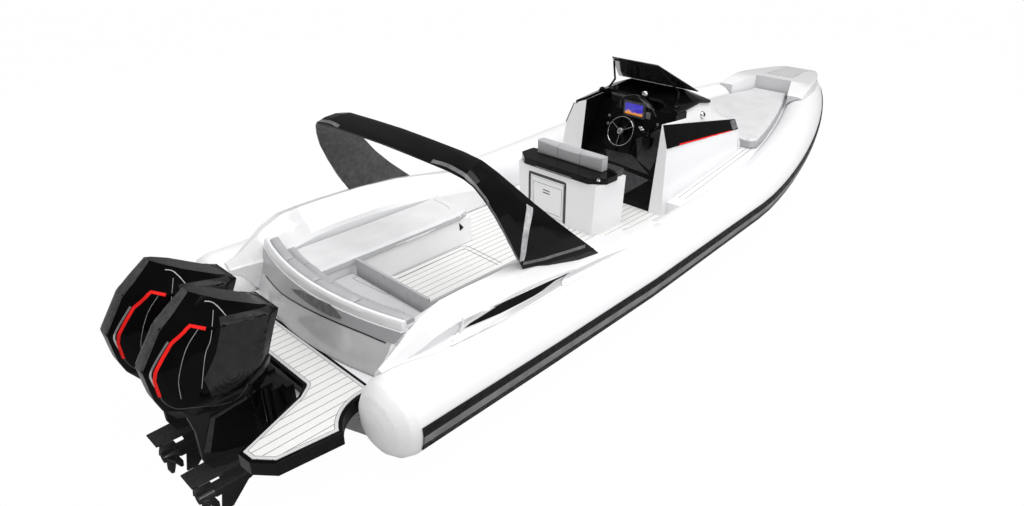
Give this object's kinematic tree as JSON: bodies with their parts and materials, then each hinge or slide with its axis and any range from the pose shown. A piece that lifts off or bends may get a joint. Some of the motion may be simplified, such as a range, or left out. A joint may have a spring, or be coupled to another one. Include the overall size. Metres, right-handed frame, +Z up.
{
  "type": "rigid inflatable boat",
  "caption": "Rigid inflatable boat with tube collar, aft lounge, black arch, helm seat, console and two tilting, steering outboards on a stern platform.",
  "frame": {"origin": "on the centreline at the waterline, level with the stern bulkhead's foot", "axes": "+X toward the bow, +Y to port, +Z up"},
  "size_m": [11.4701, 3.5326, 2.674],
  "materials": {
    "tube_fabric": "satin",
    "gelcoat": "gloss",
    "gelcoat_grey": "satin",
    "strake": "matt",
    "deck_foam": "matt",
    "vinyl_light": "satin",
    "vinyl_grey": "satin",
    "gloss_black": "gloss",
    "dark_grey": "satin",
    "engine_black": "gloss",
    "engine_dark": "satin",
    "propeller_steel": "satin",
    "stainless": "polished",
    "tinted_glass": "gloss"
  },
  "bodies": {
    "hull": {"hull": "gelcoat", "foredeck": "gelcoat", "swim_platform": "gloss_black", "platform_teak": "deck_foam", "stern_bulkhead": "gelcoat_grey", "stern_rim": "gelcoat", "lounge_base": "gelcoat", "aft_seat_cushion": "vinyl_light", "port_seat_cushion": "vinyl_light", "seat_surround": "gelcoat_grey", "aft_backrest": "vinyl_light", "cockpit_teak": "deck_foam", "arch": "gloss_black", "helm_seat_module": "gelcoat", "helm_seat_tray": "gloss_black", "helm_seat_backrest": "vinyl_grey", "helm_seat_cushion": "gloss_black", "console_body": "gelcoat", "console_hood": "gloss_black", "helm_dash": "gloss_black", "dash_display": "dark_grey", "steering_column": "gloss_black", "throttle_control": "stainless", "windscreen": "tinted_glass", "bow_sunpad": "vinyl_light", "bow_step": "gelcoat_grey", "bow_step_teak": "deck_foam", "bow_eye": "stainless", "tube_port": "tube_fabric", "rub_strake_port": "strake", "coaming_port": "gelcoat", "console_panel_port": "gloss_black", "screen_strut_port": "gloss_black", "stern_eye_port": "stainless", "transom_bracket_port": "engine_dark", "tube_starboard": "tube_fabric", "rub_strake_starboard": "strake", "coaming_starboard": "gelcoat", "console_panel_starboard": "gloss_black", "screen_strut_starboard": "gloss_black", "stern_eye_starboard": "stainless", "transom_bracket_starboard": "engine_dark"},
    "helm_seat_door": {"helm_seat_door": "gelcoat"},
    "steering_wheel": {"steering_wheel": "gloss_black"},
    "tilt_port": {"swivel_bracket_port": "engine_dark"},
    "engine_port": {"engine_cowl_port": "engine_black", "engine_leg_port": "engine_dark"},
    "propeller_port": {"propeller_port": "propeller_steel"},
    "tilt_starboard": {"swivel_bracket_starboard": "engine_dark"},
    "engine_starboard": {"engine_cowl_starboard": "engine_black", "engine_leg_starboard": "engine_dark"},
    "propeller_starboard": {"propeller_starboard": "propeller_steel"}
  },
  "joints": [
    {"name": "helm_seat_door_hinge", "type": "hinge", "parent": "hull", "child": "helm_seat_door", "pos_m": [3.3507, 0.3635, 0.68], "axis": [0, 0, -1], "range_deg": [0, 100]},
    {"name": "steering_wheel_turn", "type": "hinge", "parent": "hull", "child": "steering_wheel", "pos_m": [4.61, 0.01, 1.235], "axis": [0.9135, 0, -0.4067], "range_deg": [-528, 528]},
    {"name": "tilt_port", "type": "hinge", "parent": "hull", "child": "tilt_port", "pos_m": [-0.47, 0.33, 0.37], "axis": [0, 1, 0], "range_deg": [0, 35]},
    {"name": "steer_port", "type": "hinge", "parent": "tilt_port", "child": "engine_port", "pos_m": [-0.585, 0.33, 0.2], "axis": [0, 0, 1], "range_deg": [-22, 22]},
    {"name": "propeller_spin_port", "type": "hinge", "parent": "engine_port", "child": "propeller_port", "pos_m": [-1.236, 0.33, -0.335], "axis": [1, 0, 0], "continuous": true},
    {"name": "tilt_starboard", "type": "hinge", "parent": "hull", "child": "tilt_starboard", "pos_m": [-0.47, -0.33, 0.37], "axis": [0, 1, 0], "range_deg": [0, 35]},
    {"name": "steer_starboard", "type": "hinge", "parent": "tilt_starboard", "child": "engine_starboard", "pos_m": [-0.585, -0.33, 0.2], "axis": [0, 0, 1], "range_deg": [-22, 22]},
    {"name": "propeller_spin_starboard", "type": "hinge", "parent": "engine_starboard", "child": "propeller_starboard", "pos_m": [-1.236, -0.33, -0.335], "axis": [1, 0, 0], "continuous": true}
  ],
  "couplings": [
    {"joint": "steer_starboard", "follows": "steer_port", "ratio": 1},
    {"joint": "steering_wheel_turn", "follows": "steer_port", "ratio": 24}
  ]
}
